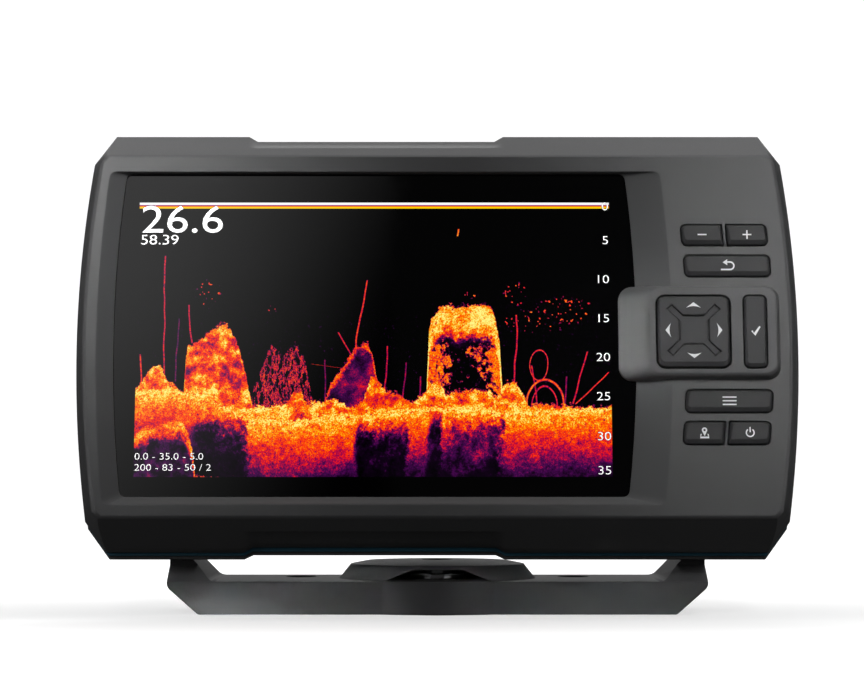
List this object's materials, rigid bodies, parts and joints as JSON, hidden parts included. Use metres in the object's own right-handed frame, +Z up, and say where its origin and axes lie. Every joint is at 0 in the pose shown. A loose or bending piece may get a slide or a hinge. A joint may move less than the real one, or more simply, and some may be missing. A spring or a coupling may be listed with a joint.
{
  "type": "fish finder",
  "caption": "Dash fish finder: wide sonar display head with keypad and direction pad, tilting in a U-shaped bail on a swivel base.",
  "frame": {"origin": "on the swivel axis, at the underside of the swivel base, which stands on the boat's dash", "axes": "+Z up; +X to the right of a person facing the screen; -Y towards that person. The head leans back 9 degrees about +X at rest"},
  "size_m": [0.238, 0.0715, 0.1589],
  "materials": {
    "head_plastic": "fine moulded grain, semi-matte charcoal",
    "bracket_plastic": "glass-filled moulding with a fine coarse grain, semi-matte black",
    "key_rubber": "matte silicone key caps with pale printed icons",
    "accent_teal": "satin teal accent strip",
    "screen_glass": "bonded cover glass with a black border over a lit sonar picture",
    "black_rubber": "plain black sealing rubber",
    "moulded_black": "moulded black component body",
    "steel": "plain stainless and plated steel",
    "circuit_board": "green solder mask",
    "brass": "turned brass",
    "lcd_sheet": "dark display sheet"
  },
  "bodies": {
    "base": {"swivel_base": "bracket_plastic", "swivel_screw": "steel", "swivel_washer": "steel"},
    "bail": {"bail_bracket": "bracket_plastic"},
    "head": {"accent_trim": "accent_teal", "beeper": "moulded_black", "display_window": "screen_glass", "front_bezel": "head_plastic", "housing_screw_1": "steel", "housing_screw_2": "steel", "housing_screw_3": "steel", "housing_screw_4": "steel", "housing_screw_5": "steel", "housing_screw_6": "steel", "housing_seal": "black_rubber", "keypad_board": "circuit_board", "keypad_membrane": "key_rubber", "lcd_frame": "steel", "lcd_panel": "lcd_sheet", "left_friction_disc": "black_rubber", "left_insert": "brass", "main_board": "circuit_board", "rear_housing": "head_plastic", "right_friction_disc": "black_rubber", "right_insert": "brass", "socket_nut": "bracket_plastic", "socket_pins": "brass", "sonar_shield": "steel", "sonar_socket": "bracket_plastic", "sonar_transformer": "moulded_black", "window_gasket": "black_rubber"},
    "left_knob": {"left_clamp_knob": "bracket_plastic", "left_knob_stud": "steel"},
    "right_knob": {"right_clamp_knob": "bracket_plastic", "right_knob_stud": "steel"},
    "pad_boss": {"direction_pad_boss": "black_rubber"},
    "direction_pad": {"direction_pad": "key_rubber"},
    "minus_key": {"minus_key": "key_rubber"},
    "plus_key": {"plus_key": "key_rubber"},
    "back_key": {"back_key": "key_rubber"},
    "enter_key": {"enter_key": "key_rubber"},
    "menu_key": {"menu_key": "key_rubber"},
    "waypoint_key": {"waypoint_key": "key_rubber"},
    "power_key": {"power_key": "key_rubber"}
  },
  "joints": [
    {"name": "swivel", "type": "hinge", "parent": "base", "child": "bail", "pos_m": [0, 0, 0], "axis": [0, 0, 1], "range_deg": [-60, 60]},
    {"name": "tilt", "type": "hinge", "parent": "bail", "child": "head", "pos_m": [0, 0.008, 0.0837], "axis": [1, 0, 0], "range_deg": [-45, 4]},
    {"name": "left_knob_turn", "type": "hinge", "parent": "head", "child": "left_knob", "pos_m": [-0.095, 0.008, 0.0837], "axis": [-1, 0, 0], "range_deg": [0, 360]},
    {"name": "right_knob_turn", "type": "hinge", "parent": "head", "child": "right_knob", "pos_m": [0.095, 0.008, 0.0837], "axis": [1, 0, 0], "range_deg": [0, 360]},
    {"name": "pad_up_down", "type": "hinge", "parent": "head", "child": "pad_boss", "pos_m": [0.0827, -0.02376, 0.09096], "axis": [1, 0, 0], "range_deg": [-2.5, 2.5], "stiffness_Nm_per_rad": 0.25},
    {"name": "pad_left_right", "type": "hinge", "parent": "pad_boss", "child": "direction_pad", "pos_m": [0.0827, -0.02376, 0.09096], "axis": [0, 0.1564, 0.9877], "range_deg": [-2.5, 2.5], "stiffness_Nm_per_rad": 0.25},
    {"name": "minus_press", "type": "slide", "parent": "head", "child": "minus_key", "axis": [0, 0.9877, -0.1564], "range_m": [0, 0.0007], "stiffness_N_per_m": 1400},
    {"name": "plus_press", "type": "slide", "parent": "head", "child": "plus_key", "axis": [0, 0.9877, -0.1564], "range_m": [0, 0.0007], "stiffness_N_per_m": 1400},
    {"name": "back_press", "type": "slide", "parent": "head", "child": "back_key", "axis": [0, 0.9877, -0.1564], "range_m": [0, 0.0007], "stiffness_N_per_m": 1400},
    {"name": "enter_press", "type": "slide", "parent": "head", "child": "enter_key", "axis": [0, 0.9877, -0.1564], "range_m": [0, 0.0007], "stiffness_N_per_m": 1400},
    {"name": "menu_press", "type": "slide", "parent": "head", "child": "menu_key", "axis": [0, 0.9877, -0.1564], "range_m": [0, 0.0007], "stiffness_N_per_m": 1400},
    {"name": "waypoint_press", "type": "slide", "parent": "head", "child": "waypoint_key", "axis": [0, 0.9877, -0.1564], "range_m": [0, 0.0007], "stiffness_N_per_m": 1400},
    {"name": "power_press", "type": "slide", "parent": "head", "child": "power_key", "axis": [0, 0.9877, -0.1564], "range_m": [0, 0.0007], "stiffness_N_per_m": 1400}
  ]
}
